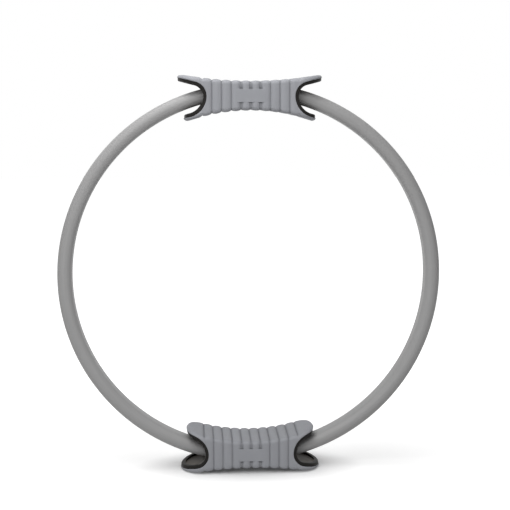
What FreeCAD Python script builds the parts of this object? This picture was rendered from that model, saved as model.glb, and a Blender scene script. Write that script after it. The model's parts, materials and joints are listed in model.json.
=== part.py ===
import FreeCAD, Part
import math
import os
import re
import Sketcher

# Pilates ring: a spring hoop in a soft sleeve, with two ribbed handles that are pressed together.
# It stands on the lower handle. X runs across the hoop, Y through it and Z up; the front faces -Y.

# Driving dimensions in millimetres.
SIZES = {
    # Hoop
    "ring_radius": 183.0,
    "sleeve_thickness": 14.2,
    "sleeve_depth": 24.0,
    "sleeve_end_reach": 38.0,
    "band_thickness": 1.2,
    "band_width": 16.0,
    "band_end_reach": 3.0,
    "band_gap": 0.4,
    "band_clearance": 0.35,
    # Handle outline, measured from the middle line of the hoop
    "outer_pad_offset": 9.2,
    "inner_pad_offset": 19.3,
    "outer_tip_reach": 71.0,
    "inner_tip_reach": 65.0,
    "outer_tip_rise": 6.5,
    "inner_tip_rise": 11.8,
    "handle_depth": 50.0,
    "edge_radius": 4.0,
    "skin_thickness": 2.8,
    "shell_thickness": 2.4,
    "tip_flat": 1.2,
    "outer_tip_round": 22.0,
    "inner_tip_round": 18.0,
    "tip_corner": 17.0,
    # Mouth at each end of a handle
    "mouth_reach": 42.5,
    "mouth_centre": 5.5,
    "outer_mouth_radius": 13.9,
    "inner_mouth_radius": 20.5,
    "shell_lip": 3.0,
    # Ribs of the grip
    "rib_pitch": 9.35,
    "groove_width": 1.8,
    "groove_depth": 1.3,
    "plain_band_height": 12.5,
    # Clamp on the band ends
    "clamp_reach": 24.0,
    "clamp_fit": 0.3,
    "clamp_screw_diameter": 3.0,
    "clamp_head_diameter": 5.5,
    "clamp_head_height": 3.0,
    "clamp_screw_near": 8.0,
    "clamp_screw_far": 18.0,
    "clamp_tip_cover": 0.6,
    # Posts and screws that join the two halves of a shell
    "post_reach": 30.5,
    "post_diameter": 5.6,
    "outer_post_offset": 3.4,
    "inner_post_offset": 9.5,
    "shell_screw_diameter": 2.2,
    "shell_head_diameter": 4.0,
    "shell_head_height": 2.0,
    "shell_head_sink": 10.0,
    "shell_screw_grip": 8.0,
    "screw_clearance": 0.1,
    "band_hole_clearance": 1.0,
    "socket_depth": 1.2,
    # Every cutter runs past the face that it opens by this much
    "overrun": 4.0,
}

# The hexagonal socket of a screw, across its corners, as a share of the head.
SOCKET_SHARE = 0.55

# Slopes of the mouth's two sides where they run out along the tongues.
OUTER_SLOPE_SHARE = 0.24
INNER_SLOPE_SHARE = 0.25

doc = FreeCAD.newDocument("pilates_ring")
sheet = doc.addObject("Spreadsheet::Sheet", "Sizes")
for row, (alias, size) in enumerate(SIZES.items(), start=1):
    sheet.set("A%d" % row, alias)
    sheet.set("B%d" % row, str(size))
    sheet.setAlias("B%d" % row, alias)
doc.recompute()


def formula(text):
    """Write the names of the sizes in a text as references to the sheet."""
    return re.sub(r"[a-z_]+", lambda word: "Sizes." + word[0] if word[0] in SIZES else word[0], text)


def value(text):
    """Number that a formula in the sheet's sizes comes to."""
    return float(sheet.evalExpression(formula(text)))


def bind(feature, **formulas):
    """Tie properties of a feature to formulas in the sheet's sizes."""
    for name, text in formulas.items():
        feature.setExpression(name, formula(text))


# Formulas that several pieces share. Heights are from the middle line of the hoop at the handle.
HALF_DEPTH = "(handle_depth / 2)"
WALL = "(skin_thickness + shell_thickness)"
FOOT = "(outer_pad_offset + outer_tip_rise - tip_flat)"
CENTRE = "(%s + ring_radius)" % FOOT
STACK = "(band_gap / 2 + band_thickness)"
OUTER_ARC = "((outer_tip_reach ^ 2 + outer_tip_rise ^ 2) / (2 * outer_tip_rise))"
INNER_ARC = "((inner_tip_reach ^ 2 + inner_tip_rise ^ 2) / (2 * inner_tip_rise))"


def sag(radius, reach):
    """Formula for how far an arc leaves its tangent at a distance from the middle."""
    return "(%s - sqrt(%s ^ 2 - (%s) ^ 2))" % (radius, radius, reach)


def origin_plane(body, role):
    return next(item for item in body.Origin.OriginFeatures if item.Role == role)


def arc_between(start, end, radius, turn):
    """Arc of a circle from start to end, anticlockwise where turn is 1 and clockwise where it is -1."""
    chord = end - start
    height = math.sqrt(max(radius ** 2 - (chord.Length / 2) ** 2, 0))
    side = FreeCAD.Vector(-chord.y, chord.x, 0)
    side.normalize()
    centre = (start + end) / 2 + side * height * turn
    circle = Part.Circle(centre, FreeCAD.Vector(0, 0, 1), radius)
    first, last = (start, end) if turn > 0 else (end, start)
    return Part.ArcOfCircle(circle, circle.parameter(first), circle.parameter(last))


def add_outline(sketch, corners, arcs=()):
    """Closed outline through corners given as formulas, with (radius, turn) on the sides listed in arcs."""
    arcs = dict(arcs)
    points = [FreeCAD.Vector(value(across), value(up), 0) for across, up in corners]
    ends = []
    for side, start in enumerate(points):
        end = points[(side + 1) % len(points)]
        if side in arcs:
            radius, turn = arcs[side]
            index = sketch.addGeometry(arc_between(start, end, value(radius), turn))
            sketch.setExpression(
                "Constraints[%d]" % sketch.addConstraint(Sketcher.Constraint("Radius", index, value(radius))),
                formula(radius))
            ends.append((index, 1, 2) if turn > 0 else (index, 2, 1))
        else:
            ends.append((sketch.addGeometry(Part.LineSegment(start, end)), 1, 2))
    for corner, (across, up) in enumerate(corners):
        index, head, tail = ends[corner]
        before, before_head, before_tail = ends[corner - 1]
        sketch.addConstraint(Sketcher.Constraint("Coincident", before, before_tail, index, head))
        for kind, axis, text in (("DistanceX", -2, across), ("DistanceY", -1, up)):
            if text == "0":
                sketch.addConstraint(Sketcher.Constraint("PointOnObject", index, head, axis))
                continue
            rule = sketch.addConstraint(Sketcher.Constraint(kind, -1, 1, index, head, value(text)))
            sketch.setExpression("Constraints[%d]" % rule, formula(text))


def sketched_body(name, role, *outlines):
    """Body with one sketch on an origin plane, holding the outlines."""
    body = doc.addObject("PartDesign::Body", name)
    sketch = body.newObject("Sketcher::SketchObject", name + "_sketch")
    sketch.AttachmentSupport = [(origin_plane(body, role), "")]
    sketch.MapMode = "FlatFace"
    for corners, arcs in outlines:
        add_outline(sketch, corners, arcs)
    doc.recompute()
    return body, sketch


def padded(name, role, length, outline, symmetric=False, backwards=False):
    """Body padded from one outline."""
    body, sketch = sketched_body(name, role, outline)
    pad = body.newObject("PartDesign::Pad", name + "_pad")
    pad.Profile = sketch
    pad.SideType = "Symmetric" if symmetric else "One side"
    pad.Reversed = backwards
    bind(pad, Length=length)
    doc.recompute()
    return body


def turned(name, angle, *outlines):
    """Body turned about Y, half of the angle to each side of the X axis."""
    body, sketch = sketched_body(name, "XY_Plane", *outlines)
    ring = body.newObject("PartDesign::Revolution", name + "_turn")
    ring.Profile = sketch
    ring.ReferenceAxis = (sketch, ["V_Axis"])
    ring.Midplane = True
    bind(ring, Angle=angle)
    doc.recompute()
    return body


def cylinder(name, diameter, length, x="0", y="0", z="0", direction=(0, 0, 1)):
    """Cylinder from a point along a direction."""
    rod = doc.addObject("Part::Cylinder", name)
    rod.Placement.Rotation = FreeCAD.Rotation(FreeCAD.Vector(0, 0, 1), FreeCAD.Vector(*direction))
    bind(rod, Radius="(%s) / 2" % diameter, Height=length)
    place(rod, x, y, z)
    return rod


def place(feature, x="0", y="0", z="0"):
    for axis, text in (("x", x), ("y", y), ("z", z)):
        feature.setExpression("Placement.Base." + axis, formula(text))


def combine(kind, name, first, second):
    """Boolean of two features, such as a Cut."""
    result = doc.addObject("Part::" + kind, name)
    result.Base = first
    result.Tool = second
    return result


def fused(name, features):
    result = doc.addObject("Part::MultiFuse", name)
    result.Shapes = features
    return result


# Handle outline

# Outer and inner side of the handle: reach and round end of its tongues, then offset and arc of its pad.
SIDES = {
    "outer": ("outer_tip_reach", "outer_tip_round", "outer_pad_offset", OUTER_ARC),
    "inner": ("inner_tip_reach", "inner_tip_round", "inner_pad_offset", INNER_ARC),
}


def oval_plan(reach, tip, inset):
    """Front half of an oval plan, drawn in by an inset: a blunt arc at each end between two corner arcs."""
    straight = "(%s - %s)" % (reach, tip)
    drop = "(%s - tip_corner)" % HALF_DEPTH
    blunt = "((%s ^ 2 + %s ^ 2 - tip_corner ^ 2) / (2 * (%s - tip_corner)))" % (tip, drop, tip)
    corner = "(tip_corner - %s)" % inset
    along = "(%s + %s * (%s - %s) / (%s - tip_corner))" % (straight, corner, blunt, tip, blunt)
    across = "-(%s + %s * %s / (%s - tip_corner))" % (drop, corner, drop, blunt)
    front = "-(%s - %s)" % (HALF_DEPTH, inset)
    end = "(%s - %s)" % (reach, inset)
    corners = [("-" + straight, front), (straight, front), (along, across)]
    corners += [(end, "0"), ("-" + end, "0"), ("-" + along, across)]
    corner_arc, blunt_arc = (corner, 1), ("(%s - %s)" % (blunt, inset), 1)
    return corners, {1: corner_arc, 2: blunt_arc, 4: blunt_arc, 5: corner_arc}


def arched_side(name, side, inset):
    """Front half of one side of the handle, from the mouth's middle to its arched pad, drawn in by an inset."""
    reach, tip, offset, arc = SIDES[side]
    far = "(%s + overrun)" % reach
    level = "(%s + %s - %s)" % (offset, sag(arc, far), inset)
    sign, first, second = ("", far, "-" + far) if side == "inner" else ("-", "-" + far, far)
    height = "%s%s - mouth_centre" % (sign, level)
    beyond = "%s(%s + 4 * overrun) - mouth_centre" % (sign, level)
    body = padded(name, "XY_Plane", "%s + 2 * overrun" % level, oval_plan(reach, tip, inset), backwards=side == "outer")
    sketch = body.newObject("Sketcher::SketchObject", name + "_arch")
    sketch.AttachmentSupport = [(origin_plane(body, "XZ_Plane"), "")]
    sketch.MapMode = "FlatFace"
    add_outline(sketch, [(first, height), (second, height), (second, beyond), (first, beyond)], {0: (arc, -1)})
    cut = body.newObject("PartDesign::Pocket", name + "_arch_cut")
    cut.Profile = sketch
    cut.SideType = "Symmetric"
    bind(cut, Length="2 * handle_depth")
    place(body, z="mouth_centre")
    doc.recompute()
    return body


def round_pad(body, rounding):
    """Round the edge between the arched pad and the wall below it."""
    cut = body.Tip
    pad = next(face for face in cut.Shape.Faces
               if face.Surface.TypeId == "Part::GeomCylinder" and abs(face.Surface.Axis.y) > value("overrun / 8"))
    edges = []
    for number, edge in enumerate(cut.Shape.Edges, start=1):
        on_split = edge.BoundBox.YMin > -value("overrun / 8")
        if not on_split and any(edge.isSame(side) for side in pad.Edges):
            edges.append("Edge%d" % number)
    fillet = body.newObject("PartDesign::Fillet", body.Name + "_edges")
    fillet.Base = (cut, edges)
    bind(fillet, Radius=rounding)
    body.Tip = fillet
    doc.recompute()


def envelope(name, inset, rounding=None):
    """Front half of the handle's outside, drawn in by an inset, with the edges of its pads rounded or left square."""
    sides = [arched_side("%s_%s" % (name, side), side, inset) for side in SIDES]
    for body in sides:
        if rounding is not None:
            round_pad(body, rounding)
    both = fused(name, sides)
    both.Refine = True
    return both


def mouth_side(reach, radius, slope, sign):
    """Where a mouth's arc ends, and where the straight side that leaves it reaches past the tips."""
    far = "(outer_tip_reach + overrun)"
    run = "sqrt(1 + %s ^ 2)" % slope
    along = "(%s + %s * (1 - %s / %s))" % (reach, radius, slope, run)
    up = "mouth_centre %s %s / %s" % (sign, radius, run)
    return (along, up), (far, "%s %s %s * (%s - %s)" % (up, sign, slope, far, along))


def mouth_cutter(name, inset):
    """The two mouths where the hoop enters, drawn in by an inset, as cutters through the front half."""
    reach = "(mouth_reach + %s)" % inset
    outer = "(outer_mouth_radius - %s)" % inset
    inner = "(inner_mouth_radius - %s)" % inset
    outer_end, outer_far = mouth_side(reach, outer, OUTER_SLOPE_SHARE, "-")
    inner_end, inner_far = mouth_side(reach, inner, INNER_SLOPE_SHARE, "+")
    corners = [(reach, "mouth_centre"), outer_end, outer_far, inner_far, inner_end]
    arcs = {0: (outer, 1), 4: (inner, 1)}
    right = padded(name + "_right", "XZ_Plane", "handle_depth", (corners, arcs))
    left = doc.addObject("Part::Mirroring", name + "_left")
    left.Source = right
    left.Normal = FreeCAD.Vector(1, 0, 0)
    return fused(name, [right, left])


def groove_cutter(inside):
    """Grooves across the grip, off the plain band in front; those at the tongues' roots are on the pads only."""
    low = "-(outer_pad_offset + outer_tip_rise + overrun)"
    high = "inner_pad_offset + inner_tip_rise + overrun"
    middle = "(inner_pad_offset - outer_pad_offset) / 2"
    split = [
        (low, "%s - plain_band_height / 2" % middle),
        ("%s + plain_band_height / 2" % middle, high),
    ]
    past_front = "(%s + overrun)" % HALF_DEPTH
    on_pads = "(%s - edge_radius - groove_width / 2)" % HALF_DEPTH
    slabs = []
    for step in range(-5, 6):
        width = on_pads if abs(step) == 5 else past_front
        for bottom, top in split if abs(step) < 2 else [(low, high)]:
            slab = doc.addObject("Part::Box", "groove_%d" % (len(slabs) + 1))
            bind(slab, Length="groove_width", Width=width, Height="%s - (%s)" % (top, bottom))
            place(slab, "rib_pitch * (%d) - groove_width / 2" % step, "-" + width, bottom)
            slabs.append(slab)
    return combine("Cut", "grooves", fused("groove_slabs", slabs), inside)


def foot_cutter():
    """Slab that leaves a small flat on the tip of each outer tongue."""
    slab = doc.addObject("Part::Box", "foot_slab")
    bind(slab, Length="2 * (outer_tip_reach + overrun)", Width="handle_depth", Height="overrun")
    place(slab, "-(outer_tip_reach + overrun)", "-handle_depth", "-%s - overrun" % FOOT)
    return slab


POSTS = [(sign, offset) for sign in ("", "-") for offset in ("-outer_post_offset", "inner_post_offset")]


def post_row(name, diameter, near, far):
    """Four cylinders on the posts' axes, from one depth behind the front to another."""
    rods = []
    for number, (sign, offset) in enumerate(POSTS, start=1):
        rods.append(cylinder("%s_%d" % (name, number), diameter, "%s - (%s)" % (far, near),
                             sign + "post_reach", "-(%s)" % near, offset, direction=(0, -1, 0)))
    return fused(name, rods)


whole = envelope("outside", "0", "edge_radius")
groove_floor = envelope("groove_floor", "groove_depth", "edge_radius - groove_depth")
under_skin = envelope("under_skin", "skin_thickness", "edge_radius - skin_thickness")
cavity = envelope("cavity", WALL)
skin_mouths = mouth_cutter("skin_mouths", "0")
shell_mouths = mouth_cutter("shell_mouths", "shell_lip")
foot = foot_cutter()
skin = combine("Cut", "skin_layer", whole, under_skin)
liner = combine("Cut", "shell_layer", under_skin, cavity)
grip_cuts = fused("grip_cuts", [skin_mouths, foot, groove_cutter(groove_floor)])
shell_cuts = fused("shell_cuts", [shell_mouths, foot])
shell_with_mouths = combine("Cut", "shell_open", liner, shell_cuts)

# Posts run from the split between the halves to the front or rear wall.
posts = post_row("posts", "post_diameter", "0", "%s - skin_thickness - shell_thickness / 2" % HALF_DEPTH)
post_stock = fused("shell_posts", [shell_with_mouths, posts])
HEAD_SEAT = "(%s - shell_head_sink - shell_head_height)" % HALF_DEPTH
pilots = post_row("pilots", "shell_screw_diameter + screw_clearance", "-overrun", "shell_screw_grip + overrun / 2")
through = post_row("through_holes", "shell_screw_diameter + 2 * screw_clearance", "-overrun", HALF_DEPTH)
sinks = post_row("head_sinks", "shell_head_diameter + 2 * screw_clearance", HEAD_SEAT, "%s + overrun" % HALF_DEPTH)
rear_cuts = fused("rear_cuts", [through, sinks])
rear_grip_cuts = fused("rear_grip_cuts", [grip_cuts, sinks])


# Clamp on the band ends

def clamp_holes(name, diameter, bottom, top):
    """Four upright cylinders on the axes of the clamp screws."""
    rods = []
    for sign in ("", "-"):
        for reach in ("clamp_screw_near", "clamp_screw_far"):
            rods.append(cylinder("%s_%d" % (name, len(rods) + 1), diameter, "(%s) - (%s)" % (top, bottom),
                                 sign + reach, "0", bottom))
    return fused(name, rods)


BASE_FACE = "(%s + clamp_fit)" % STACK
BASE_TOP = "(inner_pad_offset - %s - clamp_fit)" % WALL
CAP_BOTTOM = "(outer_pad_offset - %s - clamp_fit)" % WALL
HOOP_SAG_BASE = sag("(ring_radius - %s)" % BASE_FACE, "clamp_reach")
HOOP_SAG_CAP = sag("(ring_radius + %s)" % BASE_FACE, "clamp_reach")
CLAMP_DEPTH = "2 * (%s - %s - clamp_fit)" % (HALF_DEPTH, WALL)
base_block = padded("base_block", "XZ_Plane", CLAMP_DEPTH, ([
    ("-clamp_reach", "%s + %s" % (BASE_FACE, HOOP_SAG_BASE)),
    ("clamp_reach", "%s + %s" % (BASE_FACE, HOOP_SAG_BASE)),
    ("clamp_reach", "%s + %s" % (BASE_TOP, sag(INNER_ARC, "clamp_reach"))),
    ("-clamp_reach", "%s + %s" % (BASE_TOP, sag(INNER_ARC, "clamp_reach"))),
], {0: ("ring_radius - %s" % BASE_FACE, 1), 2: (INNER_ARC, -1)}), symmetric=True)
cap_plate = padded("cap_plate", "XZ_Plane", CLAMP_DEPTH, ([
    ("-clamp_reach", "-%s - %s" % (CAP_BOTTOM, sag(OUTER_ARC, "clamp_reach"))),
    ("clamp_reach", "-%s - %s" % (CAP_BOTTOM, sag(OUTER_ARC, "clamp_reach"))),
    ("clamp_reach", "-%s + %s" % (BASE_FACE, HOOP_SAG_CAP)),
    ("-clamp_reach", "-%s + %s" % (BASE_FACE, HOOP_SAG_CAP)),
], {0: (OUTER_ARC, -1), 2: ("ring_radius + %s" % BASE_FACE, -1)}), symmetric=True)
HEAD_BOTTOM = "(%s - clamp_head_height)" % BASE_TOP
SCREW_TIP = "(clamp_tip_cover - %s)" % CAP_BOTTOM
shank_room = clamp_holes("shank_room", "clamp_screw_diameter + 2 * screw_clearance",
                         SCREW_TIP, "%s + overrun" % BASE_TOP)
head_room = clamp_holes("head_room", "clamp_head_diameter + 2 * screw_clearance",
                        HEAD_BOTTOM, "%s + 2 * overrun" % BASE_TOP)
base_cuts = fused("base_cuts", [shank_room, head_room])


# Screws

def screw(name, sizes, shank, head, x, y, z, direction):
    """Socket screw whose head stands on a point, with its shank behind it."""
    head_diameter, shank_diameter = sizes
    back = tuple(-part for part in direction)
    top = cylinder(name + "_head", head_diameter, head, x, y, z, direction)
    rod = cylinder(name + "_shank", shank_diameter, shank, x, y, z, back)
    socket = doc.addObject("Part::Prism", name + "_socket")
    socket.Polygon = 6
    socket.Placement.Rotation = top.Placement.Rotation
    bind(socket, Circumradius="%s * %s / 2" % (head_diameter, SOCKET_SHARE), Height="%s + overrun" % head)
    rise = "(%s - socket_depth)" % head
    place(socket, *["%s + %s * (%d)" % (spot, rise, part) for spot, part in zip((x, y, z), direction)])
    return combine("Cut", name, fused(name + "_blank", [top, rod]), socket)


def screw_set(name, spots, sizes, shank, head, direction):
    """Alike screws as one group of separate solids."""
    group = doc.addObject("Part::Compound", name)
    group.Links = [
        screw("%s_%d" % (name, number), sizes, shank, head, x, y, z, direction)
        for number, (x, y, z) in enumerate(spots, start=1)
    ]
    return group


clamp_spots = [
    (sign + reach, "0", HEAD_BOTTOM)
    for sign in ("", "-") for reach in ("clamp_screw_near", "clamp_screw_far")
]
shell_spots = [(sign + "post_reach", HEAD_SEAT, offset) for sign, offset in POSTS]
clamp_set = screw_set("clamp_set", clamp_spots, ("clamp_head_diameter", "clamp_screw_diameter"),
                      "%s - %s" % (HEAD_BOTTOM, SCREW_TIP), "clamp_head_height", (0, 0, 1))
shell_set = screw_set("shell_set", shell_spots, ("shell_head_diameter", "shell_screw_diameter"),
                      "%s + shell_screw_grip" % HEAD_SEAT, "shell_head_height", (0, 1, 0))


# Hoop

def half_turn_less(reach):
    """Angle of a half hoop that stops short of the handle's middle by a reach at both ends."""
    return "180 deg - 2 * asin((%s) / ring_radius)" % reach


def band_section(low, high):
    return [
        ("ring_radius + %s" % low, "-band_width / 2"),
        ("ring_radius + %s" % high, "-band_width / 2"),
        ("ring_radius + %s" % high, "band_width / 2"),
        ("ring_radius + %s" % low, "band_width / 2"),
    ]


def sleeve_section():
    """Oval outside of the sleeve, with the room for the two bands in it."""
    outer = "ring_radius + sleeve_thickness / 2"
    inner = "ring_radius - sleeve_thickness / 2"
    straight = "(sleeve_depth - sleeve_thickness) / 2"
    corners = [
        (outer, "-" + straight),
        (outer, straight),
        ("ring_radius", "sleeve_depth / 2"),
        (inner, straight),
        (inner, "-" + straight),
        ("ring_radius", "-sleeve_depth / 2"),
    ]
    round_side = ("sleeve_thickness / 2", 1)
    arcs = {1: round_side, 2: round_side, 4: round_side, 5: round_side}
    room = "(%s + band_clearance)" % STACK
    edge = "(band_width / 2 + band_clearance)"
    bore = [
        ("ring_radius - %s" % room, "-" + edge),
        ("ring_radius + %s" % room, "-" + edge),
        ("ring_radius + %s" % room, edge),
        ("ring_radius - %s" % room, edge),
    ]
    return (corners, arcs), (bore, {})


band_angle = half_turn_less("band_end_reach")
outer_leaf = turned("outer_leaf", band_angle, (band_section("band_gap / 2", STACK), {}))
inner_leaf = turned("inner_leaf", band_angle, (band_section("(-%s)" % STACK, "(-band_gap / 2)"), {}))
sleeve_tube = turned("sleeve_tube", half_turn_less("sleeve_end_reach"), *sleeve_section())
band_holes = fused("band_holes", [
    cylinder("band_hole_" + reach, "clamp_screw_diameter + band_hole_clearance", "2 * (ring_radius + overrun)",
             "clamp_screw_" + reach, "0", "-(ring_radius + overrun)")
    for reach in ("near", "far")
])

# Sub-parts

parts = []


def sub_part(label, kind, first, second=None):
    """Feature that carries a sub-part's name and gets its own place."""
    if second is None:
        feature = doc.addObject("Part::Compound", label)
        feature.Links = [first]
    else:
        feature = combine(kind, label, first, second)
    feature.Label = label
    parts.append(feature)
    return feature


def set_up(feature, axis, height):
    """Turn a sub-part half round about an axis, or not at all, and lift it to its height."""
    turn = FreeCAD.Rotation(FreeCAD.Vector(*axis), 180) if axis else FreeCAD.Rotation()
    feature.Placement.Rotation = turn
    place(feature, z=height)


X_AXIS, Y_AXIS, Z_AXIS = (1, 0, 0), (0, 1, 0), (0, 0, 1)
HANDLES = {
    "lower": (FOOT, None, Z_AXIS),
    "upper": ("2 * %s - %s" % (CENTRE, FOOT), Y_AXIS, X_AXIS),
}
for handle, (height, front_turn, rear_turn) in HANDLES.items():
    set_up(sub_part(handle + "_front_shell", "Cut", post_stock, pilots), front_turn, height)
    set_up(sub_part(handle + "_rear_shell", "Cut", post_stock, rear_cuts), rear_turn, height)
    set_up(sub_part(handle + "_front_grip", "Cut", skin, grip_cuts), front_turn, height)
    set_up(sub_part(handle + "_rear_grip", "Cut", skin, rear_grip_cuts), rear_turn, height)
    set_up(sub_part(handle + "_clamp_base", "Cut", base_block, base_cuts), front_turn, height)
    set_up(sub_part(handle + "_clamp_cap", "Cut", cap_plate, shank_room), front_turn, height)
    set_up(sub_part(handle + "_clamp_screws", "Compound", clamp_set), front_turn, height)
    set_up(sub_part(handle + "_shell_screws", "Compound", shell_set), front_turn, height)
for side, turn in (("right", None), ("left", Z_AXIS)):
    set_up(sub_part(side + "_outer_band", "Cut", outer_leaf, band_holes), turn, CENTRE)
    set_up(sub_part(side + "_inner_band", "Cut", inner_leaf, band_holes), turn, CENTRE)
    set_up(sub_part(side + "_sleeve", "Compound", sleeve_tube), turn, CENTRE)

doc.recompute()
for item in doc.Objects:
    faults = [state for state in item.State if state in ("Invalid", "Error")]
    if faults:
        raise RuntimeError("%s is %s" % (item.Label, ", ".join(faults)))
for part in parts:
    if part.Shape.isNull() or not part.Shape.isValid():
        raise RuntimeError("%s has no valid shape" % part.Label)

os.makedirs("parts", exist_ok=True)
for part in parts:
    part.Shape.exportStep("parts/%s.step" % part.Label)
    print(part.Label, len(part.Shape.Solids), round(part.Shape.Volume))
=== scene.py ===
"""Pilates ring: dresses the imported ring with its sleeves, bands, ribbed grips, finishes and stage."""
import json
import math

import bmesh
import bpy
from mathutils import Matrix, Vector


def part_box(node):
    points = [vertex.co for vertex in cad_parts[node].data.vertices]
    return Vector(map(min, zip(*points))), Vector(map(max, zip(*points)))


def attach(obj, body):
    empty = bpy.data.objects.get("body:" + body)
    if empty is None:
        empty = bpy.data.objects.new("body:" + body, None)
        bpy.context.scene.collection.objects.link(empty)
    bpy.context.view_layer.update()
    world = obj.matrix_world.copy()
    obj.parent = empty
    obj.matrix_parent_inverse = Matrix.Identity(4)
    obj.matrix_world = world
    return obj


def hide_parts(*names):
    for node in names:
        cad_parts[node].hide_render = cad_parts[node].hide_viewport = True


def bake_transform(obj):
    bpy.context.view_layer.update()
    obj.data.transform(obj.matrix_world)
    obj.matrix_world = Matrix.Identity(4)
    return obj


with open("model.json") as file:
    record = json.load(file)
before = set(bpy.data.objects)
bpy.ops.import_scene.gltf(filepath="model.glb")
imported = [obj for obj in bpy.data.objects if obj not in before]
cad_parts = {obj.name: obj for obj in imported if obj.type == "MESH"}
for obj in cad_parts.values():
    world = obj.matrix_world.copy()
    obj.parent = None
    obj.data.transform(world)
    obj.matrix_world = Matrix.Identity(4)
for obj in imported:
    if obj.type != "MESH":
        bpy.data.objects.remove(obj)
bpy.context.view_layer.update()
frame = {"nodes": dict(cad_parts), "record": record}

bl_info = {
    "name": "Pilates Ring",
    "version": (1, 0, 0),
    "blender": (4, 5, 0),
    "location": "3D View > Sidebar > Ring",
    "description": "Dresses the packed pilates ring: sleeves, bands, grips, shells, screws and stage",
    "category": "Object",
}

MM = 0.001
SIDES = {"left": -1, "right": 1}
HANDLES = ("lower", "upper")

# Fineness of the meshes, and length of a sink's drill as a multiple of the skin
MERGE_DISTANCE = MM * MM
SHARP_ANGLE = math.radians(50)
SLEEVE_STEPS = 72
BAND_STEPS = 48
EDGE_STEPS = 9
TIP_STEPS = 26
SINK_SIDES = 32
DRILL_SKINS = 4

# Rounded end of a sleeve: shares of the rounding's length, and how far the section is drawn in there
END_SHARES = (0.15, 0.4, 1.0)
END_SCALES = {0: 0.86, 1: 0.93, 2: 0.98}

# Rows of a handle's side, as shares of the way over the pad and down the wall
PAD_SHARES = (0.0, 0.012, 0.03, 0.12, 0.24, 0.36, 0.48, 0.6, 0.7, 0.79, 0.86, 0.92, 0.965)
UPPER_WALL_SHARES = (0.08, 0.18, 0.26)
BAND_EDGE_SHARES = (-0.05, -0.012, 0.012, 0.05)
LOWER_WALL_SHARES = (0.54, 0.66, 0.77, 0.86, 0.92, 0.96, 0.985, 1.0)

# Columns of a handle's side, in millimetres from a groove or the mouth, and as shares of the rib between
GROOVE_OFFSETS = (0.35, 0.55, 0.8, 1.05, 1.35, 1.7)
RIB_SHARES = (0.3, 0.42, 0.5, 0.58, 0.7)
MOUTH_OFFSETS = (-2.6, -1.7, -1.0, -0.6, -0.35, -0.15, 0.0, 0.02, 0.08, 0.2, 0.4, 0.7, 1.1, 1.6, 2.2)

# Grooves on each side of a handle's middle: on the pads, on the front, and those that the plain band stops
PAD_GROOVES = 5
FRONT_GROOVES = 4
STOPPED_GROOVES = 1

# Width of a groove's floor, as a share of the pitch, and length of the deep end of a stopped groove
THIN_FLOOR_SHARE = 0.07
WIDE_FLOOR_SHARE = 0.26
DEEP_END_SHARE = 0.15

# The floor's own white: little under the handle, more beside it and most farther off, so that a painted
# shadow lies round the handle over its real one; with the distance at which each starts and how fast it grows
# from there
PAINTED_SHADOW_FOOTPRINT = (0.5, 1.0, 0.0)
UNDER_WHITE, BESIDE_WHITE, FAR_WHITE = 0.04, 0.46, 0.5
BESIDE_START, BESIDE_GROWTH = 0.025, 30.0
FAR_START, FAR_GROWTH = 0.08, 4.0

# Place and diameter of each lamp, and width of the camera's picture in millimetres
FRONT_LAMP = ((-0.22, -0.7, 0.86), 1.0)
TOP_LAMP = ((-0.15, -0.05, 0.82), 0.5)
SENSOR_WIDTH = 36.0


def number_list(corner):
    """Corner of a box as plain numbers."""
    return [float(part) for part in corner]


SLEEVE_LOW, SLEEVE_HIGH = (Vector(number_list(corner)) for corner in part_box("right_sleeve"))
GRIP_LOW, GRIP_HIGH = (Vector(number_list(corner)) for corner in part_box("lower_front_grip"))
RING_CENTRE = (SLEEVE_LOW.z + SLEEVE_HIGH.z) / 2
SLEEVE_DEPTH = SLEEVE_HIGH.y - SLEEVE_LOW.y


def length(name, description, millimetres):
    """A size that the user can change, in metres."""
    return bpy.props.FloatProperty(
        name=name, description=description, default=millimetres * MM, unit="LENGTH", precision=5)


def colour(name, description, value):
    """A colour that the user can change."""
    return bpy.props.FloatVectorProperty(
        name=name, description=description, default=value, subtype="COLOR", size=3, min=0.0, max=1.0)


class HoopSizes(bpy.types.PropertyGroup):
    """Sizes of the hoop's sleeves and bands."""
    sleeve_thickness: length("Sleeve thickness", "Sleeve measured along the hoop's radius", 14.2)
    sleeve_end: length("Sleeve end", "Distance of the sleeve's end from the handle's middle", 38.0)
    sleeve_end_round: length("End rounding", "Rounding of the sleeve's end", 1.2)
    band_thickness: length("Band thickness", "Thickness of one spring band", 1.2)
    band_width: length("Band width", "Width of a spring band", 16.0)
    band_gap: length("Band gap", "Gap between the two bands", 0.4)
    band_end: length("Band end", "Distance of a band's end from the handle's middle", 3.0)


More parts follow.
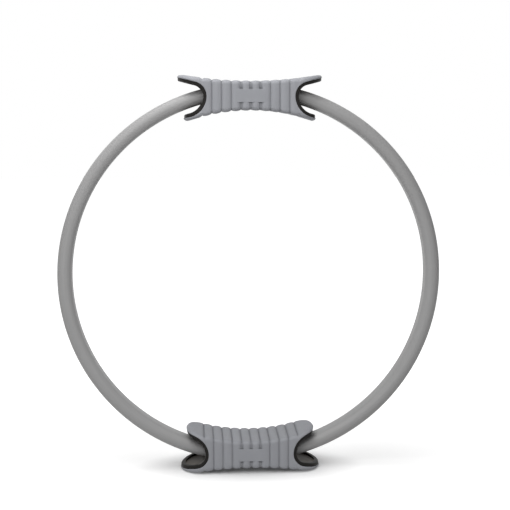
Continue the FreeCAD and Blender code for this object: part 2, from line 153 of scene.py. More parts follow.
class HandleSizes(bpy.types.PropertyGroup):
    """Sizes of a handle, from the middle line of the hoop."""
    outer_pad: length("Outer pad", "Distance of the outer pad at its middle", 9.2)
    inner_pad: length("Inner pad", "Distance of the inner pad at its middle", 19.3)
    outer_reach: length("Outer reach", "Reach of the outer tongues", 71.0)
    inner_reach: length("Inner reach", "Reach of the inner tongues", 65.0)
    outer_rise: length("Outer rise", "Rise of the outer pad towards its tips", 6.5)
    inner_rise: length("Inner rise", "Rise of the inner pad towards its tips", 11.8)
    outer_round: length("Outer round", "Length of the round end of the outer tongues", 22.0)
    inner_round: length("Inner round", "Length of the round end of the inner tongues", 18.0)
    tip_corner: length("Tip corner", "Radius of the tongues' corners, seen from the pads", 17.0)
    edge_radius: length("Edge radius", "Rounding between the pads and the front", 4.0)
    skin: length("Skin", "Thickness of the grip's skin", 2.8)
    tip_flat: length("Tip flat", "Depth of the flat on the tips", 1.2)
    mouth_reach: length("Mouth reach", "Distance of the mouth's deepest point from the middle", 42.5)
    mouth_centre: length("Mouth centre", "Height of the mouth's deepest point", 5.5)
    outer_mouth: length("Outer mouth", "Radius of the mouth towards the outer tongue", 13.9)
    inner_mouth: length("Inner mouth", "Radius of the mouth towards the inner tongue", 20.5)
    outer_slope: bpy.props.FloatProperty(
        name="Outer slope", description="Slope of the mouth's side along the outer tongue", default=0.24)
    inner_slope: bpy.props.FloatProperty(
        name="Inner slope", description="Slope of the mouth's side along the inner tongue", default=0.25)
    rib_pitch: length("Rib pitch", "Distance from groove to groove", 9.35)
    groove_depth: length("Groove depth", "Depth of a groove between ribs on the pads", 1.5)
    front_share: bpy.props.FloatProperty(
        name="Front share", default=0.8,
        description="Depth of a groove in front, as a share of that on the pads")
    outer_band: bpy.props.FloatProperty(
        name="Outer band", default=0.38,
        description="Start of the plain band, as a share of the way from the outer edge")
    inner_band: bpy.props.FloatProperty(
        name="Inner band", default=0.42,
        description="Start of the plain band, as a share of the way from the inner edge")
    rim: length("Rim", "Rounding of the skin's free edge", 0.6)
    seam: length("Seam", "Rounding along the joint of the two halves", 0.2)
    lip_rise: length("Lip rise", "How far the shell's lip stands out of the skin", 3.15)
    lip_wall: length("Lip wall", "Depth of the lip's inner face below the outside", 5.35)
    lip_cover: length("Lip cover", "Width of the skin's edge that the lip leaves bare", 1.0)
    lip_round: length("Lip round", "Rounding of the lip", 1.1)
    lip_root: length("Lip root", "How far the lip reaches into the skin", 0.4)
    sink_diameter: length("Screw sink", "Diameter of the screw sinks in the rear", 4.2)
    post_reach: length("Post reach", "Distance of the screw sinks from the middle", 30.5)
    outer_post: length("Outer post", "Offset of the outer screw sinks", 3.4)
    inner_post: length("Inner post", "Offset of the inner screw sinks", 9.5)


class RingFinishes(bpy.types.PropertyGroup):
    """Colours of the ring's materials."""
    grip: colour("Grip", "Soft grey skin of the handles", (0.295, 0.301, 0.323))
    sleeve: colour("Sleeve", "Grey sleeve of the hoop", (0.320, 0.318, 0.318))
    shell: colour("Shell", "Near-black plastic of the shells' lips", (0.016, 0.015, 0.014))
    # painted reflection: the shells' inner faces get a lighter, browner copy of the near-black shell plastic,
    # standing in for the light from above that they reflect
    inside: colour("Inside", "Browner plastic of the shells' inner faces", (0.105, 0.094, 0.081))
    clamp: colour("Clamp", "Black plastic of the band clamps", (0.03, 0.03, 0.03))
    steel: colour("Steel", "Rolled steel of the bands", (0.42, 0.43, 0.45))
    zinc: colour("Zinc", "Plated steel of the screws", (0.50, 0.50, 0.49))


class StageSettings(bpy.types.PropertyGroup):
    """Floor, lamps and camera."""
    floor: colour("Floor", "Pale floor", (0.82, 0.82, 0.82))
    floor_size: bpy.props.FloatProperty(
        name="Floor size", description="Length of the floor's side", default=8.0, unit="LENGTH")
    sky: bpy.props.FloatProperty(name="Sky", description="Level of the even light", default=0.16, min=0.0)
    front: bpy.props.FloatProperty(
        name="Front", description="Power of the lamp in front", default=7.6, subtype="POWER")
    top: bpy.props.FloatProperty(
        name="Top", description="Power of the lamp above", default=2.0, subtype="POWER")
    distance: bpy.props.FloatProperty(
        name="Distance", default=1.089, unit="LENGTH",
        description="Distance of the camera from the hoop's plane")
    sideways: bpy.props.FloatProperty(
        name="Sideways", default=-0.062, unit="LENGTH",
        description="Place of the camera across the hoop")
    above: bpy.props.FloatProperty(
        name="Above", default=0.1772, unit="LENGTH",
        description="Height of the camera above the hoop's centre")
    turn: bpy.props.FloatProperty(
        name="Turn", default=math.radians(3.53), subtype="ANGLE",
        description="Turn of the camera to the right")
    tilt: bpy.props.FloatProperty(
        name="Tilt", default=math.radians(8.16), subtype="ANGLE",
        description="Tilt of the camera downwards")
    lens: bpy.props.FloatProperty(
        name="Lens", description="Focal length in millimetres", default=78.1, unit="CAMERA")


def sizes_of(name):
    """One of the scene's groups of settings."""
    return getattr(bpy.context.scene, name)


# Shader expressions

class Tone:
    """A shader socket that can stand in sums and products, each of which adds a Math node."""

    def __init__(self, finish, socket):
        self.finish = finish
        self.socket = socket

    def math(self, operation, first, second):
        return self.finish.node("ShaderNodeMath", {"operation": operation}, {0: first, 1: second})

    def __add__(self, other):
        return self.math("ADD", self, other)

    def __sub__(self, other):
        return self.math("SUBTRACT", self, other)

    def __rsub__(self, other):
        return self.math("SUBTRACT", other, self)

    def __mul__(self, other):
        return self.math("MULTIPLY", self, other)

    __radd__ = __add__
    __rmul__ = __mul__

    def clamped(self):
        return self.finish.node("ShaderNodeClamp", {}, {"Value": self})


class Finish:
    """A material whose nodes are made from expressions."""

    def __init__(self, name):
        self.material = bpy.data.materials.new(name)
        self.material.use_nodes = True
        self.tree = self.material.node_tree
        self.tree.nodes.clear()
        self.output = self.tree.nodes.new("ShaderNodeOutputMaterial")

    def node(self, kind, settings=None, inputs=None, output=0):
        """Add a node, with its settings first and then the values or links of its sockets."""
        made = self.tree.nodes.new(kind)
        for key, setting in (settings or {}).items():
            setattr(made, key, setting)
        for key, given in (inputs or {}).items():
            socket = made.inputs[key]
            if isinstance(given, Tone):
                self.tree.links.new(given.socket, socket)
            else:
                socket.default_value = given
        return Tone(self, made.outputs[output])

    def spots(self):
        """Places on the piece, in metres."""
        return self.node("ShaderNodeTexCoord", output="Object")

    def noise(self, scale, detail, roughness, places=None):
        return self.node("ShaderNodeTexNoise", {"noise_dimensions": "3D"}, {
            "Vector": places or self.spots(), "Scale": scale, "Detail": detail, "Roughness": roughness})

    def mark(self, name):
        """Value kept on the points of the mesh."""
        return self.node("ShaderNodeAttribute", {"attribute_name": name}, output="Fac")

    def mix(self, share, first, second):
        return self.node("ShaderNodeMix", {"data_type": "RGBA"}, {0: share, 6: first, 7: second}, output=2)

    def bump(self, height, strength, distance):
        return self.node("ShaderNodeBump", {}, {"Height": height, "Strength": strength, "Distance": distance})

    def surface(self, **sockets):
        """Finish with a Principled surface whose sockets have these values or links."""
        named = {key.replace("_", " ").title().replace("Ior", "IOR"): given for key, given in sockets.items()}
        shader = self.node("ShaderNodeBsdfPrincipled", {}, named)
        self.tree.links.new(shader.socket, self.output.inputs["Surface"])
        return self.material


def shade(rgb, factor):
    """Colour made lighter or darker, with its alpha."""
    return (*[min(part * factor, 1.0) for part in rgb], 1.0)


def grip_finish(rgb):
    """Soft moulded rubber: fine spark-eroded grain, a faint cloudiness and painted shade that darkens the
    grooves.
    """
    finish = Finish("soft_grip_rubber")
    grain = finish.noise(scale=2600.0, detail=2.0, roughness=0.6)
    cloud = finish.noise(scale=55.0, detail=4.0, roughness=0.55)
    groove = finish.mark("groove")
    body = finish.mix(cloud, shade(rgb, 0.93), shade(rgb, 1.06))
    return finish.surface(
        # painted shade: the groove mark darkens the skin towards 0.45 of its colour in the groove floors,
        # where shade falls
        base_color=finish.mix((groove * groove * 0.8).clamped(), body, shade(rgb, 0.45)),
        roughness=(0.56 + (grain - 0.5) * 0.16 + groove * 0.12).clamped(),
        normal=finish.bump(grain, strength=0.22, distance=0.0004),
        specular_ior_level=0.3)


def sleeve_finish(rgb):
    """Extruded foam sleeve: faint drawn lines along its run and a close skin."""
    finish = Finish("foam_sleeve")
    around = finish.mark("round_sleeve")
    along = finish.mark("along_hoop")
    places = finish.node("ShaderNodeCombineXYZ", {}, {"X": around * 60.0, "Y": along * 0.8, "Z": 0.0})
    drawn = finish.noise(scale=1.0, detail=2.0, roughness=0.5, places=places)
    skin = finish.noise(scale=900.0, detail=2.0, roughness=0.5)
    cloud = finish.noise(scale=22.0, detail=3.0, roughness=0.5)
    tint = (0.5 + (drawn - 0.5) * 1.1 + (cloud - 0.5) * 0.3).clamped()
    return finish.surface(
        base_color=finish.mix(tint, shade(rgb, 0.9), shade(rgb, 1.1)),
        roughness=(0.4 + (drawn - 0.5) * 0.12 + (skin - 0.5) * 0.06).clamped(),
        normal=finish.bump(drawn * 0.9 + skin * 0.1, strength=0.12, distance=0.0004),
        specular_ior_level=0.26)


def moulded_finish(name, rgb, lip_rgb, roughness):
    """Hard moulded plastic, finely eroded and slightly scuffed; pieces with the lip mark take the lip colour,
    the others the first colour, which for the shells is a lighter, browner painted reflection of the light
    from above.
    """
    finish = Finish(name)
    grain = finish.noise(scale=2200.0, detail=2.0, roughness=0.6)
    scuff = finish.noise(scale=140.0, detail=5.0, roughness=0.7)
    worn = ((scuff - 0.56) * 4.0).clamped()
    lip = finish.mark("lip")
    # painted reflection: faces without the lip mark take the first colour, for the shells a lighter copy of
    # their plastic
    body = finish.mix(lip, shade(rgb, 1.0), shade(lip_rgb, 1.0))
    pale = finish.mix(lip, shade(rgb, 1.5), shade(lip_rgb, 2.1))
    return finish.surface(
        base_color=finish.mix(worn * 0.5, body, pale),
        roughness=(roughness + (grain - 0.5) * 0.2 + worn * 0.15).clamped(),
        normal=finish.bump(grain, strength=0.25, distance=0.0003),
        specular_ior_level=0.08)


def steel_finish(name, rgb, stretch, roughness):
    """Bare or plated steel with fine drawn lines."""
    finish = Finish(name)
    placed = finish.node("ShaderNodeVectorMath", {"operation": "MULTIPLY"}, {0: finish.spots(), 1: stretch})
    lines = finish.noise(scale=900.0, detail=3.0, roughness=0.6, places=placed)
    stain = finish.noise(scale=60.0, detail=4.0, roughness=0.6)
    return finish.surface(
        base_color=finish.mix(stain, shade(rgb, 0.86), shade(rgb, 1.1)),
        metallic=1.0,
        roughness=(roughness + (lines - 0.5) * 0.3).clamped(),
        normal=finish.bump(lines, strength=0.15, distance=0.0002))


def make_finishes():
    """All the finishes of the ring, by the record's slot."""
    colours = sizes_of("ring_finishes")
    return {
        "grip_skin": grip_finish(colours.grip),
        "sleeve_foam": sleeve_finish(colours.sleeve),
        # the shells' inner faces take the lighter, browner painted reflection colour, and the lips the
        # near-black plastic
        "shell_plastic": moulded_finish("shell_plastic", colours.inside, colours.shell, roughness=0.42),
        "clamp_plastic": moulded_finish("clamp_plastic", colours.clamp, colours.clamp, roughness=0.55),
        "spring_steel": steel_finish(
            "spring_steel", colours.steel, stretch=(0.05, 1.0, 0.05), roughness=0.34),
        "screw_steel": steel_finish(
            "screw_steel", colours.zinc, stretch=(1.0, 1.0, 1.0), roughness=0.3),
    }


FINISHES = {}


def finish_for(slot):
    """Finish of a slot; all of them are made when the first is asked for."""
    if not FINISHES:
        FINISHES.update(make_finishes())
    return FINISHES[slot]


# Meshes

def add_piece(name, points, faces, slot, marks=None):
    """Mesh piece with smooth faces, sharp only at real corners, and values kept on its points."""
    mesh = bpy.data.meshes.new(name)
    mesh.from_pydata([tuple(point) for point in points], [], faces)
    for key, values in (marks or {}).items():
        mesh.attributes.new(key, "FLOAT", "POINT").data.foreach_set("value", values)
    shape = bmesh.new()
    shape.from_mesh(mesh)
    bmesh.ops.remove_doubles(shape, verts=shape.verts, dist=MERGE_DISTANCE)
    bmesh.ops.recalc_face_normals(shape, faces=shape.faces)
    shape.to_mesh(mesh)
    shape.free()
    mesh.shade_smooth()
    mesh.set_sharp_from_angle(angle=SHARP_ANGLE)
    piece = bpy.data.objects.new(name, mesh)
    bpy.context.scene.collection.objects.link(piece)
    mesh.materials.append(finish_for(slot))
    return piece


# Hoop

def ring_radius():
    """Radius of the hoop's middle line."""
    return SLEEVE_HIGH.x - sizes_of("ring_hoop").sleeve_thickness / 2


def hoop_point(side, radius, angle, depth):
    """Point of the hoop; the angle runs from the lower handle up to the upper one."""
    return Vector((side * radius * math.sin(angle), depth, RING_CENTRE - radius * math.cos(angle)))


def oval_outline(thickness, depth, steps=14):
    """Section with flat inner and outer faces and round front and rear, as (radius, depth) offsets."""
    half = thickness / 2
    straight = depth / 2 - half
    points = []
    for sign in (1, -1):
        for step in range(steps + 1):
            angle = math.pi * step / steps
            points.append((sign * half * math.cos(angle), sign * (straight + half * math.sin(angle))))
    return points


def strip_outline(low, high, width, steps=4):
    """Section of a flat band with rounded edges, as (radius, depth) offsets."""
    half = (high - low) / 2
    middle = (high + low) / 2
    return [(middle + across, depth) for across, depth in oval_outline(half * 2, width, steps)]


def swept_piece(name, slot, outline, side, angles, shrink=None):
    """Closed piece swept along the hoop, with an outline drawn in at some of its angles."""
    shrink = shrink or {}
    count = len(outline)
    radius = ring_radius()
    points, along, around = [], [], []
    for index, angle in enumerate(angles):
        scale = shrink.get(index, 1.0)
        for number, (offset, depth) in enumerate(outline):
            points.append(hoop_point(side, radius + offset * scale, angle, depth * scale))
            along.append(angle)
            around.append(number / count)
    faces = []
    for ring in range(len(angles) - 1):
        for number in range(count):
            here = ring * count + number
            beside = ring * count + (number + 1) % count
            faces.append((here, beside, beside + count, here + count))
    faces.append(tuple(range(count)))
    faces.append(tuple(range(len(points) - count, len(points))))
    return add_piece(name, points, faces, slot, {"along_hoop": along, "round_sleeve": around})


def quarter_angles(end, half, steps):
    """Angles of a quarter of the hoop, from the handle to the middle of the side."""
    angles = [end + (math.pi / 2 - end) * step / steps for step in range(steps + 1)]
    return angles if half == "lower" else [math.pi - angle for angle in angles]


def bend_with_squeeze(piece, side_name, half):
    """Bake a quarter's place into its mesh; the points at its handle and at the side of the hoop are worked
    out but not used.
    """
    side = SIDES[side_name]
    handle = sizes_of("ring_handle")
    inside = ring_radius() - sizes_of("ring_hoop").sleeve_thickness / 2
    start_angle = math.asin(handle.mouth_reach / ring_radius())
    if half == "upper":
        start_angle = math.pi - start_angle
    start = hoop_point(side, ring_radius(), start_angle, 0.0)
    end = hoop_point(side, inside, math.pi / 2, 0.0)
    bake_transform(piece)


class RING_OT_sleeves(bpy.types.Operator):
    """Build the foam sleeves, a quarter of the hoop at a time"""
    bl_idname = "ring.sleeves"
    bl_label = "Build sleeves"

    def execute(self, context):
        hoop = sizes_of("ring_hoop")
        outline = oval_outline(hoop.sleeve_thickness, SLEEVE_DEPTH)
        end = math.asin(hoop.sleeve_end / ring_radius())
        for side_name, side in SIDES.items():
            for half in HANDLES:
                angles = quarter_angles(end, half, SLEEVE_STEPS)
                step = hoop.sleeve_end_round / ring_radius() * (1 if half == "lower" else -1)
                angles[1:1] = [angles[0] + step * share for share in END_SHARES]
                piece = swept_piece(
                    "%s_%s_foam_sleeve" % (side_name, half), "sleeve_foam", outline, side, angles, END_SCALES)
                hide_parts(side_name + "_sleeve")
                bend_with_squeeze(piece, side_name, half)
        return {"FINISHED"}


class RING_OT_bands(bpy.types.Operator):
    """Build the spring bands inside the sleeves"""
    bl_idname = "ring.bands"
    bl_label = "Build bands"

    def execute(self, context):
        hoop = sizes_of("ring_hoop")
        near = hoop.band_gap / 2
        far = near + hoop.band_thickness
        end = math.asin(hoop.band_end / ring_radius())
        for side_name, side in SIDES.items():
            for leaf, low, high in (("outer", near, far), ("inner", -far, -near)):
                outline = strip_outline(low, high, hoop.band_width)
                for half in HANDLES:
                    piece = swept_piece(
                        "%s_%s_%s_leaf" % (side_name, leaf, half), "spring_steel", outline, side,
                        quarter_angles(end, half, BAND_STEPS))
                    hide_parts("%s_%s_band" % (side_name, leaf))
                    bend_with_squeeze(piece, side_name, half)
        return {"FINISHED"}


# Handles

class OvalPlan:
    """Front half of the oval plan of a handle's side, from the middle of the front round to a tip."""

    def __init__(self, reach, tip, corner, half_depth):
        drop = half_depth - corner
        blunt = (tip ** 2 + drop ** 2 - corner ** 2) / (2 * (tip - corner))
        self.straight = reach - tip
        self.corner = corner
        self.blunt = blunt
        self.corner_centre = Vector((self.straight, -drop))
        self.blunt_centre = Vector((reach - blunt, 0.0))
        self.meeting = math.asin((blunt - tip) / (blunt - corner))
        self.corner_end = self.straight + corner * self.meeting
        self.length = self.corner_end + blunt * (math.pi / 2 - self.meeting)

    def place(self, along):
        """Point of the outline and the direction that it faces there, at a distance from the middle."""
        distance = abs(along)
        if distance < self.straight:
            centre, radius, turn = Vector((distance, self.corner_centre.y)), self.corner, 0.0
        elif distance < self.corner_end:
            centre, radius, turn = self.corner_centre, self.corner, (distance - self.straight) / self.corner
        else:
            turn = self.meeting + (distance - self.corner_end) / self.blunt
            centre, radius = self.blunt_centre, self.blunt
        facing = Vector((math.sin(turn), -math.cos(turn)))
        spot = centre + facing * radius
        if distance >= self.length:
            spot.y = 0.0
        mirror = Vector((math.copysign(1.0, along), 1.0))
        return spot * mirror, facing * mirror

    def depth(self, across, inset):
        """Depth of the outline, drawn in by an inset, at a distance across."""
        corner = self.corner - inset
        past = across - self.straight
        if past <= 0:
            return corner - self.corner_centre.y
        if past < corner * math.sin(self.meeting):
            return math.sqrt(corner ** 2 - past ** 2) - self.corner_centre.y
        return math.sqrt(max((self.blunt - inset) ** 2 - (across - self.blunt_centre.x) ** 2, 0.0))


class HandleSide:
    """Front half of the outer or inner side of a handle's skin: rows over the pad and down the front."""

    def __init__(self, sizes, name):
        self.sizes = sizes
        self.half_depth = GRIP_HIGH.y - GRIP_LOW.y
        outer = name == "outer"
        self.sign = -1 if outer else 1
        reach, rise, tip = (getattr(sizes, "%s_%s" % (name, key)) for key in ("reach", "rise", "round"))
        self.reach = reach
        self.offset = getattr(sizes, name + "_pad")
        self.mouth = getattr(sizes, name + "_mouth")
        self.slope = getattr(sizes, name + "_slope")
        self.band = getattr(sizes, name + "_band")
        self.arc = (reach ** 2 + rise ** 2) / (2 * rise)
        self.plan = OvalPlan(reach, tip, sizes.tip_corner, self.half_depth)
        self.rows = self.section_rows()
        self.columns = self.column_places()

    def section_rows(self):
        """Rows over the pad, round its edge and along the wall."""
        by_band = [self.band + share for share in BAND_EDGE_SHARES]
        rows = [("pad", share) for share in PAD_SHARES]
        rows += [("edge", step / EDGE_STEPS) for step in range(EDGE_STEPS + 1)]
        return rows + [("wall", share) for share in (*UPPER_WALL_SHARES, *by_band, *LOWER_WALL_SHARES)]

    def column_places(self):
        """Places along the plan: fine across the grooves and at the mouth, then on to the tip."""
        sizes = self.sizes
        near = [offset * MM for offset in GROOVE_OFFSETS]
        groove = [-offset for offset in reversed(near)] + [0.0] + near
        half = [offset for offset in groove if offset >= 0]
        for step in range(1, FRONT_GROOVES + 1):
            half += [(step - 1 + share) * sizes.rib_pitch for share in RIB_SHARES]
            half += [step * sizes.rib_pitch + offset for offset in groove]
        half += [sizes.mouth_reach + offset * MM for offset in MOUTH_OFFSETS]
        half += [PAD_GROOVES * sizes.rib_pitch + offset for offset in groove]
        knee = half[-1]
        half += [knee + (self.plan.length - knee) * step / TIP_STEPS for step in range(1, TIP_STEPS)]
        half.append(self.plan.length)
        return [-place for place in reversed(half[1:])] + half

    def pad_level(self, across):
        """Distance of the pad from the middle line of the hoop."""
        return self.offset + self.arc - math.sqrt(self.arc ** 2 - across ** 2)

    def mouth_height(self, across, inset=0.0):
        """Height of the mouth's side above its deepest point: an arc, then a straight run that touches it."""
        past = abs(across) - self.sizes.mouth_reach - inset
        if past <= 0:
            return 0.0
        radius = self.mouth - inset
        run = math.sqrt(1 + self.slope ** 2)
        turned = radius * (1 - self.slope / run)
        if past < turned:
            return math.sqrt(radius ** 2 - (radius - past) ** 2)
        return radius / run + self.slope * (past - turned)

    def point(self, along, row, inset):
        """Point of a row, drawn in from the outside by an inset."""
        kind, share = row
        spot, facing = self.plan.place(along)
        rounding = self.sizes.edge_radius
        flat = spot - facing * rounding
        pad = self.pad_level(flat.x) - inset
        if kind == "pad":
            return Vector((flat.x, flat.y * share, self.sign * pad))
        radius = rounding - inset
        limit = self.sign * self.sizes.mouth_centre + self.mouth_height((spot - facing * inset).x)
        most = math.acos(1 - min(max(pad - limit, 0.0) / radius, 1.0))
        turn = most * share if kind == "edge" else most
        at = spot - facing * (inset + radius * (1 - math.sin(turn)))
        level = pad - radius * (1 - math.cos(turn))
        if kind == "wall":
            level += (limit - level) * share
        return Vector((at.x, at.y, self.sign * level))

    def rim_drop(self, spot):
        """How far the rounding of the skin's free edge lies below its face."""
        sizes = self.sizes
        across = abs(spot.x)
        height = self.sign * (spot.z - sizes.mouth_centre)
        gap = sizes.rim
        if across >= sizes.mouth_reach:
            gap = min(gap, height - self.mouth_height(across))
        if height < self.mouth:
            gap = min(gap, sizes.mouth_reach + self.mouth - math.sqrt(self.mouth ** 2 - height ** 2) - across)
        return sizes.rim - math.sqrt(sizes.rim ** 2 - (sizes.rim - max(gap, 0.0)) ** 2)

    def seam_drop(self, along, row):
        """Small rounding along the joint of the two halves."""
        kind, share = row
        across_pad = share * self.half_depth if kind == "pad" else self.half_depth
        from_seam = min(self.plan.length - abs(along), across_pad)
        return self.sizes.seam * (1 - min(from_seam / self.sizes.seam, 1.0)) ** 2

    def rib_drop(self, across, last, floor=THIN_FLOOR_SHARE):
        """Fall of a rib's rounded back, from 0 on its crest to 1 at the floor of the groove beside it."""
        pitch = self.sizes.rib_pitch
        step = max(-last, min(last, round(across / pitch)))
        apart = min(abs(across - step * pitch) / (pitch / 2), 1.0)
        fall = 1 - max(apart - floor, 0.0) / (1 - floor)
        return 1 - math.sqrt(1 - fall ** 2)

    def groove_share(self, across, row):
        """How deep a point lies below the ribs, as a share of the depth of the pads' grooves."""
        kind, share = row
        on_pad = self.rib_drop(across, PAD_GROOVES)
        if kind == "pad":
            return on_pad
        stopped = abs(across) < (STOPPED_GROOVES + 0.5) * self.sizes.rib_pitch
        drop = self.rib_drop(across, FRONT_GROOVES, WIDE_FLOOR_SHARE if stopped else THIN_FLOOR_SHARE)
        in_front = drop * self.sizes.front_share
        if kind == "edge":
            return on_pad + (in_front - on_pad) * share
        if stopped and share > self.band:
            return 0.0
        if stopped and share > self.band - DEEP_END_SHARE:
            return drop
        return in_front

    def surfaces(self):
        """Rows of points outside and inside, and how deep each outside point lies in a groove."""
        outside, inside, grooves = [], [], []
        foot = -(self.sizes.outer_pad + self.sizes.outer_rise - self.sizes.tip_flat)
        for row in self.rows:
            for along in self.columns:
                groove = self.groove_share(along, row)
                inset = self.sizes.groove_depth * groove + self.rim_drop(self.point(along, row, 0.0))
                spot = self.point(along, row, max(inset, self.seam_drop(along, row)))
                spot.z = max(spot.z, foot)
                outside.append(spot)
                inside.append(self.point(along, row, self.sizes.skin))
                grooves.append(groove)
        return outside, inside, grooves


def side_faces(side, first):
    """Faces of one side's skin, whose points start at an index: outside, inside, seam and free edge."""
    width, height = len(side.columns), len(side.rows)
    count = width * height
    faces = []
    for line in range(height - 1):
        for column in range(width - 1):
            corner = line * width + column
            quad = (corner, corner + 1, corner + 1 + width, corner + width)
            faces += [quad, tuple(index + count for index in reversed(quad))]
    border = [(column, column + 1) for column in range(width - 1)]
    border += [(line * width, (line + 1) * width) for line in range(height - 1)]
    border += [((line + 1) * width - 1, (line + 2) * width - 1) for line in range(height - 1)]
    last = count - width
    reach = side.sizes.mouth_reach
    for column in range(width - 1):
        if abs(side.columns[column] + side.columns[column + 1]) / 2 > reach:
            border.append((last + column, last + column + 1))
    faces += [(start, end, end + count, start + count) for start, end in border]
    return [tuple(index + first for index in face) for face in faces]


def grip_mesh(sizes):
    """Points, faces and groove marks of the front skin, in the lower handle's own frame."""
    points, faces, marks = [], [], []
    for name in ("outer", "inner"):
        side = HandleSide(sizes, name)
        outside, inside, grooves = side.surfaces()
        faces += side_faces(side, len(points))
        points += outside + inside
        marks += grooves + [0.0] * len(inside)
    return points, faces, marks


def lip_outline(sizes, steps=6):
    """Section of the shell's lip, as (depth below the outside, height above the skin's edge)."""
    near, far, top, turn = sizes.lip_cover, sizes.lip_wall, sizes.lip_rise, sizes.lip_round
    corners = [step / steps * math.pi / 2 for step in range(steps + 1)]
    outer = [(near + turn - turn * math.cos(angle), top - turn + turn * math.sin(angle)) for angle in corners]
    inner = [(far - turn + turn * math.sin(angle), top - turn + turn * math.cos(angle)) for angle in corners]
    return [(near, -sizes.lip_root), *outer, *inner, (far, -sizes.lip_root)]


def lip_mesh(sizes, steps=56):
    """Points and faces of the lips round both mouths of the front half, in the lower handle's own frame."""
    outline = lip_outline(sizes)
    count = len(outline)
    points, faces = [], []
    for side in (HandleSide(sizes, "outer"), HandleSide(sizes, "inner")):
        for end in (-1, 1):
            first = len(points)
            for step in range(steps + 1):
                share = (1 - math.cos(math.pi * step / steps)) / 2
                for depth, rise in outline:
                    start = sizes.mouth_reach + rise
                    across = start + (side.reach - depth - start) * share
                    level = sizes.mouth_centre + side.sign * side.mouth_height(across, rise)
                    points.append(Vector((end * across, -side.plan.depth(across, depth), level)))
            for step in range(steps):
                for number in range(count):
                    here = first + step * count + number
                    beside = first + step * count + (number + 1) % count
                    faces.append((here, beside, beside + count, here + count))
            faces.append(tuple(range(first + steps * count, first + (steps + 1) * count)))
    return points, faces


def handle_places():
    """Turn and lift of each half handle, from the lower front one's own frame."""
    sizes = sizes_of("ring_handle")
    lift = sizes.outer_pad + sizes.outer_rise - sizes.tip_flat
    low = Matrix.Translation((0, 0, lift))
    high = Matrix.Translation((0, 0, 2 * RING_CENTRE - lift))
    half_turn = math.pi
    return {
        ("lower", "front"): low,
        ("lower", "rear"): low @ Matrix.Rotation(half_turn, 4, "Z"),
        ("upper", "front"): high @ Matrix.Rotation(half_turn, 4, "Y"),
        ("upper", "rear"): high @ Matrix.Rotation(half_turn, 4, "X"),
    }


def sink_drill(sizes):
    """Four cylinders that open the screw sinks, in the lower front handle's own frame."""
    shape = bmesh.new()
    radius = sizes.sink_diameter / 2
    for sign in (-1, 1):
        for level in (-sizes.outer_post, sizes.inner_post):
            place = Matrix.Translation((sign * sizes.post_reach, GRIP_LOW.y, level))
            bmesh.ops.create_cone(
                shape, cap_ends=True, segments=SINK_SIDES, radius1=radius, radius2=radius,
                depth=DRILL_SKINS * sizes.skin, matrix=place @ Matrix.Rotation(math.pi / 2, 4, "X"))
    mesh = bpy.data.meshes.new("sink_drill")
    shape.to_mesh(mesh)
    shape.free()
    drill = bpy.data.objects.new("sink_drill", mesh)
    bpy.context.scene.collection.objects.link(drill)
    return drill


def drilled(piece, drill):
    """Cut the screw sinks out of a piece for good."""
    cut = piece.modifiers.new("sinks", "BOOLEAN")
    cut.operation = "DIFFERENCE"
    cut.solver = "EXACT"
    cut.object = drill
    bpy.context.view_layer.update()
    graph = bpy.context.evaluated_depsgraph_get()
    mesh = bpy.data.meshes.new_from_object(piece.evaluated_get(graph))
    piece.modifiers.clear()
    piece.data = mesh


class RING_OT_grips(bpy.types.Operator):
    """Build the ribbed skins of both handles"""
    bl_idname = "ring.grips"
    bl_label = "Build grips"

    def execute(self, context):
        sizes = sizes_of("ring_handle")
        points, faces, grooves = grip_mesh(sizes)
        drill = sink_drill(sizes)
        for (handle, face), place in handle_places().items():
            piece = add_piece("%s_%s_skin" % (handle, face), points, faces, "grip_skin", {"groove": grooves})
            if face == "rear":
                drilled(piece, drill)
            piece.data.transform(place)
            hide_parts("%s_%s_grip" % (handle, face))
            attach(piece, handle + "_handle")
        bpy.data.objects.remove(drill)
        return {"FINISHED"}


class RING_OT_lips(bpy.types.Operator):
    """Build the rounded lips of the shells round the mouths"""
    bl_idname = "ring.lips"
    bl_label = "Build lips"

    def execute(self, context):
        points, faces = lip_mesh(sizes_of("ring_handle"))
        marks = {"lip": [1.0] * len(points)}
        for (handle, face), place in handle_places().items():
            piece = add_piece("%s_%s_lip" % (handle, face), points, faces, "shell_plastic", marks)
            piece.data.transform(place)
            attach(piece, handle + "_handle")
        return {"FINISHED"}


class RING_OT_hardware(bpy.types.Operator):
    """Give the shells, clamps and screws their finishes"""
    bl_idname = "ring.hardware"
    bl_label = "Finish hardware"

    def execute(self, context):
        slots = {entry["node"]: entry["material_slot"] for entry in frame["record"]["subparts"]}
        for name, node in frame["nodes"].items():
            if node.hide_render:
                continue
            for slot in node.material_slots:
                slot.material = finish_for(slots[name])
        return {"FINISHED"}


# Stage

def add_lamp(name, place, size, target, power):
    """Round lamp that faces a point."""
    lamp = bpy.data.lights.new(name, "AREA")
    lamp.shape = "DISK"
    lamp.size = size
    lamp.energy = power
    holder = bpy.data.objects.new(name, lamp)
    bpy.context.scene.collection.objects.link(holder)
    holder.location = place
    holder.rotation_euler = (Vector(target) - Vector(place)).to_track_quat("-Z", "Y").to_euler()


def seen_share(finish):
    """1 for what is seen straight, mirrored or through glass, and 0 for the light that falls on things."""
    straight, mirrored, through = (
        finish.node("ShaderNodeLightPath", output="Is %s Ray" % kind)
        for kind in ("Camera", "Glossy", "Transmission"))
    return (straight + mirrored + through).clamped()


class Sky(Finish):
    """The world's nodes, made from the same expressions."""

    def __init__(self, world):
        world.use_nodes = True
        self.tree = world.node_tree
        self.tree.nodes.clear()
        self.output = self.tree.nodes.new("ShaderNodeOutputWorld")


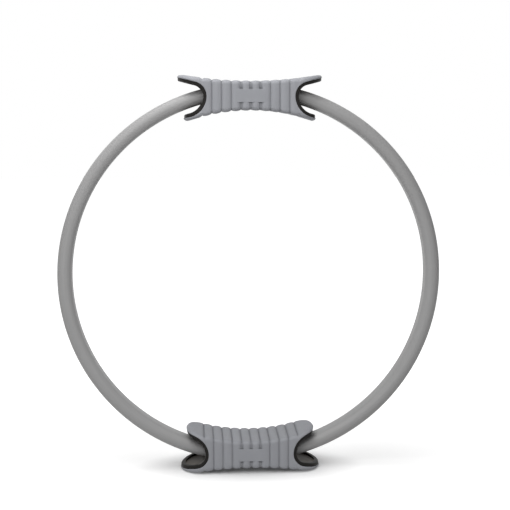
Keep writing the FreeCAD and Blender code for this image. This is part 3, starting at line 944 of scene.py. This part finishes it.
class RING_OT_stage(bpy.types.Operator):
    """Set the floor, the even light, the lamps and the camera"""
    bl_idname = "ring.stage"
    bl_label = "Set stage"

    def execute(self, context):
        stage = sizes_of("ring_stage")
        self.lay_floor(stage)
        self.light(stage)
        self.aim_camera(stage)
        return {"FINISHED"}

    def lay_floor(self, stage):
        """Floor with a white of its own, held low round the handle, which paints a darker shadow there over
        the real one.
        """
        finish = Finish("pale_floor")
        narrowed = finish.node(
            "ShaderNodeVectorMath", {"operation": "MULTIPLY"}, {0: finish.spots(), 1: PAINTED_SHADOW_FOOTPRINT})
        away = finish.node("ShaderNodeVectorMath", {"operation": "LENGTH"}, {0: narrowed}, output="Value")
        beside = ((away - BESIDE_START) * BESIDE_GROWTH).clamped()
        beyond = ((away - FAR_START) * FAR_GROWTH).clamped()
        # painted shadow: the floor's glow grows with the distance from the handle's footprint, so it stays
        # dark under and beside the handle
        floor_glow_with_painted_shadow = UNDER_WHITE + beside * BESIDE_WHITE + beyond * FAR_WHITE
        finish.surface(
            base_color=(*stage.floor, 1.0), roughness=1.0, specular_ior_level=0.0,
            emission_color=seen_share(finish) * floor_glow_with_painted_shadow, emission_strength=1.0)
        half = stage.floor_size / 2
        corners = [(-half, -half, 0), (half, -half, 0), (half, half, 0), (-half, half, 0)]
        mesh = bpy.data.meshes.new("floor")
        mesh.from_pydata(corners, [], [(0, 1, 2, 3)])
        mesh.materials.append(finish.material)
        floor = bpy.data.objects.new("floor", mesh)
        bpy.context.scene.collection.objects.link(floor)

    def light(self, stage):
        """White backdrop, an even light that is weaker than it, and two lamps."""
        world = bpy.data.worlds.new("studio")
        bpy.context.scene.world = world
        sky = Sky(world)
        level = seen_share(sky) * (1.0 - stage.sky) + stage.sky
        backdrop = sky.node("ShaderNodeBackground", {}, {"Color": level, "Strength": 1.0})
        sky.tree.links.new(backdrop.socket, sky.output.inputs["Surface"])
        centre = (0.0, 0.0, RING_CENTRE)
        add_lamp("front_lamp", *FRONT_LAMP, centre, stage.front)
        add_lamp("top_lamp", *TOP_LAMP, centre, stage.top)

    def aim_camera(self, stage):
        """Camera at the photograph's place and angle."""
        lens = bpy.data.cameras.new("camera")
        lens.lens = stage.lens
        lens.sensor_width = SENSOR_WIDTH
        camera = bpy.data.objects.new("camera", lens)
        bpy.context.scene.collection.objects.link(camera)
        camera.location = (stage.sideways, -stage.distance, RING_CENTRE + stage.above)
        camera.rotation_euler = (math.pi / 2 - stage.tilt, 0.0, -stage.turn)
        bpy.context.scene.camera = camera


class RING_PT_panel(bpy.types.Panel):
    """Lists the ring's sizes and builders"""
    bl_idname = "RING_PT_panel"
    bl_label = "Pilates ring"
    bl_space_type = "VIEW_3D"
    bl_region_type = "UI"
    bl_category = "Ring"

    def draw(self, context):
        for operator in OPERATORS:
            self.layout.operator(operator.bl_idname)
        for name in GROUPS:
            group = getattr(context.scene, name)
            box = self.layout.box()
            for key in group.__annotations__:
                box.prop(group, key)


GROUPS = {
    "ring_hoop": HoopSizes,
    "ring_handle": HandleSizes,
    "ring_finishes": RingFinishes,
    "ring_stage": StageSettings,
}
OPERATORS = (RING_OT_sleeves, RING_OT_bands, RING_OT_grips, RING_OT_lips, RING_OT_hardware, RING_OT_stage)


def register():
    for kind in (*GROUPS.values(), *OPERATORS, RING_PT_panel):
        bpy.utils.register_class(kind)
    for name, kind in GROUPS.items():
        setattr(bpy.types.Scene, name, bpy.props.PointerProperty(type=kind))


def unregister():
    for name in GROUPS:
        delattr(bpy.types.Scene, name)
    for kind in reversed((*GROUPS.values(), *OPERATORS, RING_PT_panel)):
        bpy.utils.unregister_class(kind)


def main():
    register()
    bpy.context.scene.view_settings.view_transform = "Standard"
    bpy.ops.ring.sleeves()
    bpy.ops.ring.bands()
    bpy.ops.ring.grips()
    bpy.ops.ring.lips()
    bpy.ops.ring.hardware()
    bpy.ops.ring.stage()


if __name__ == "__main__":
    main()
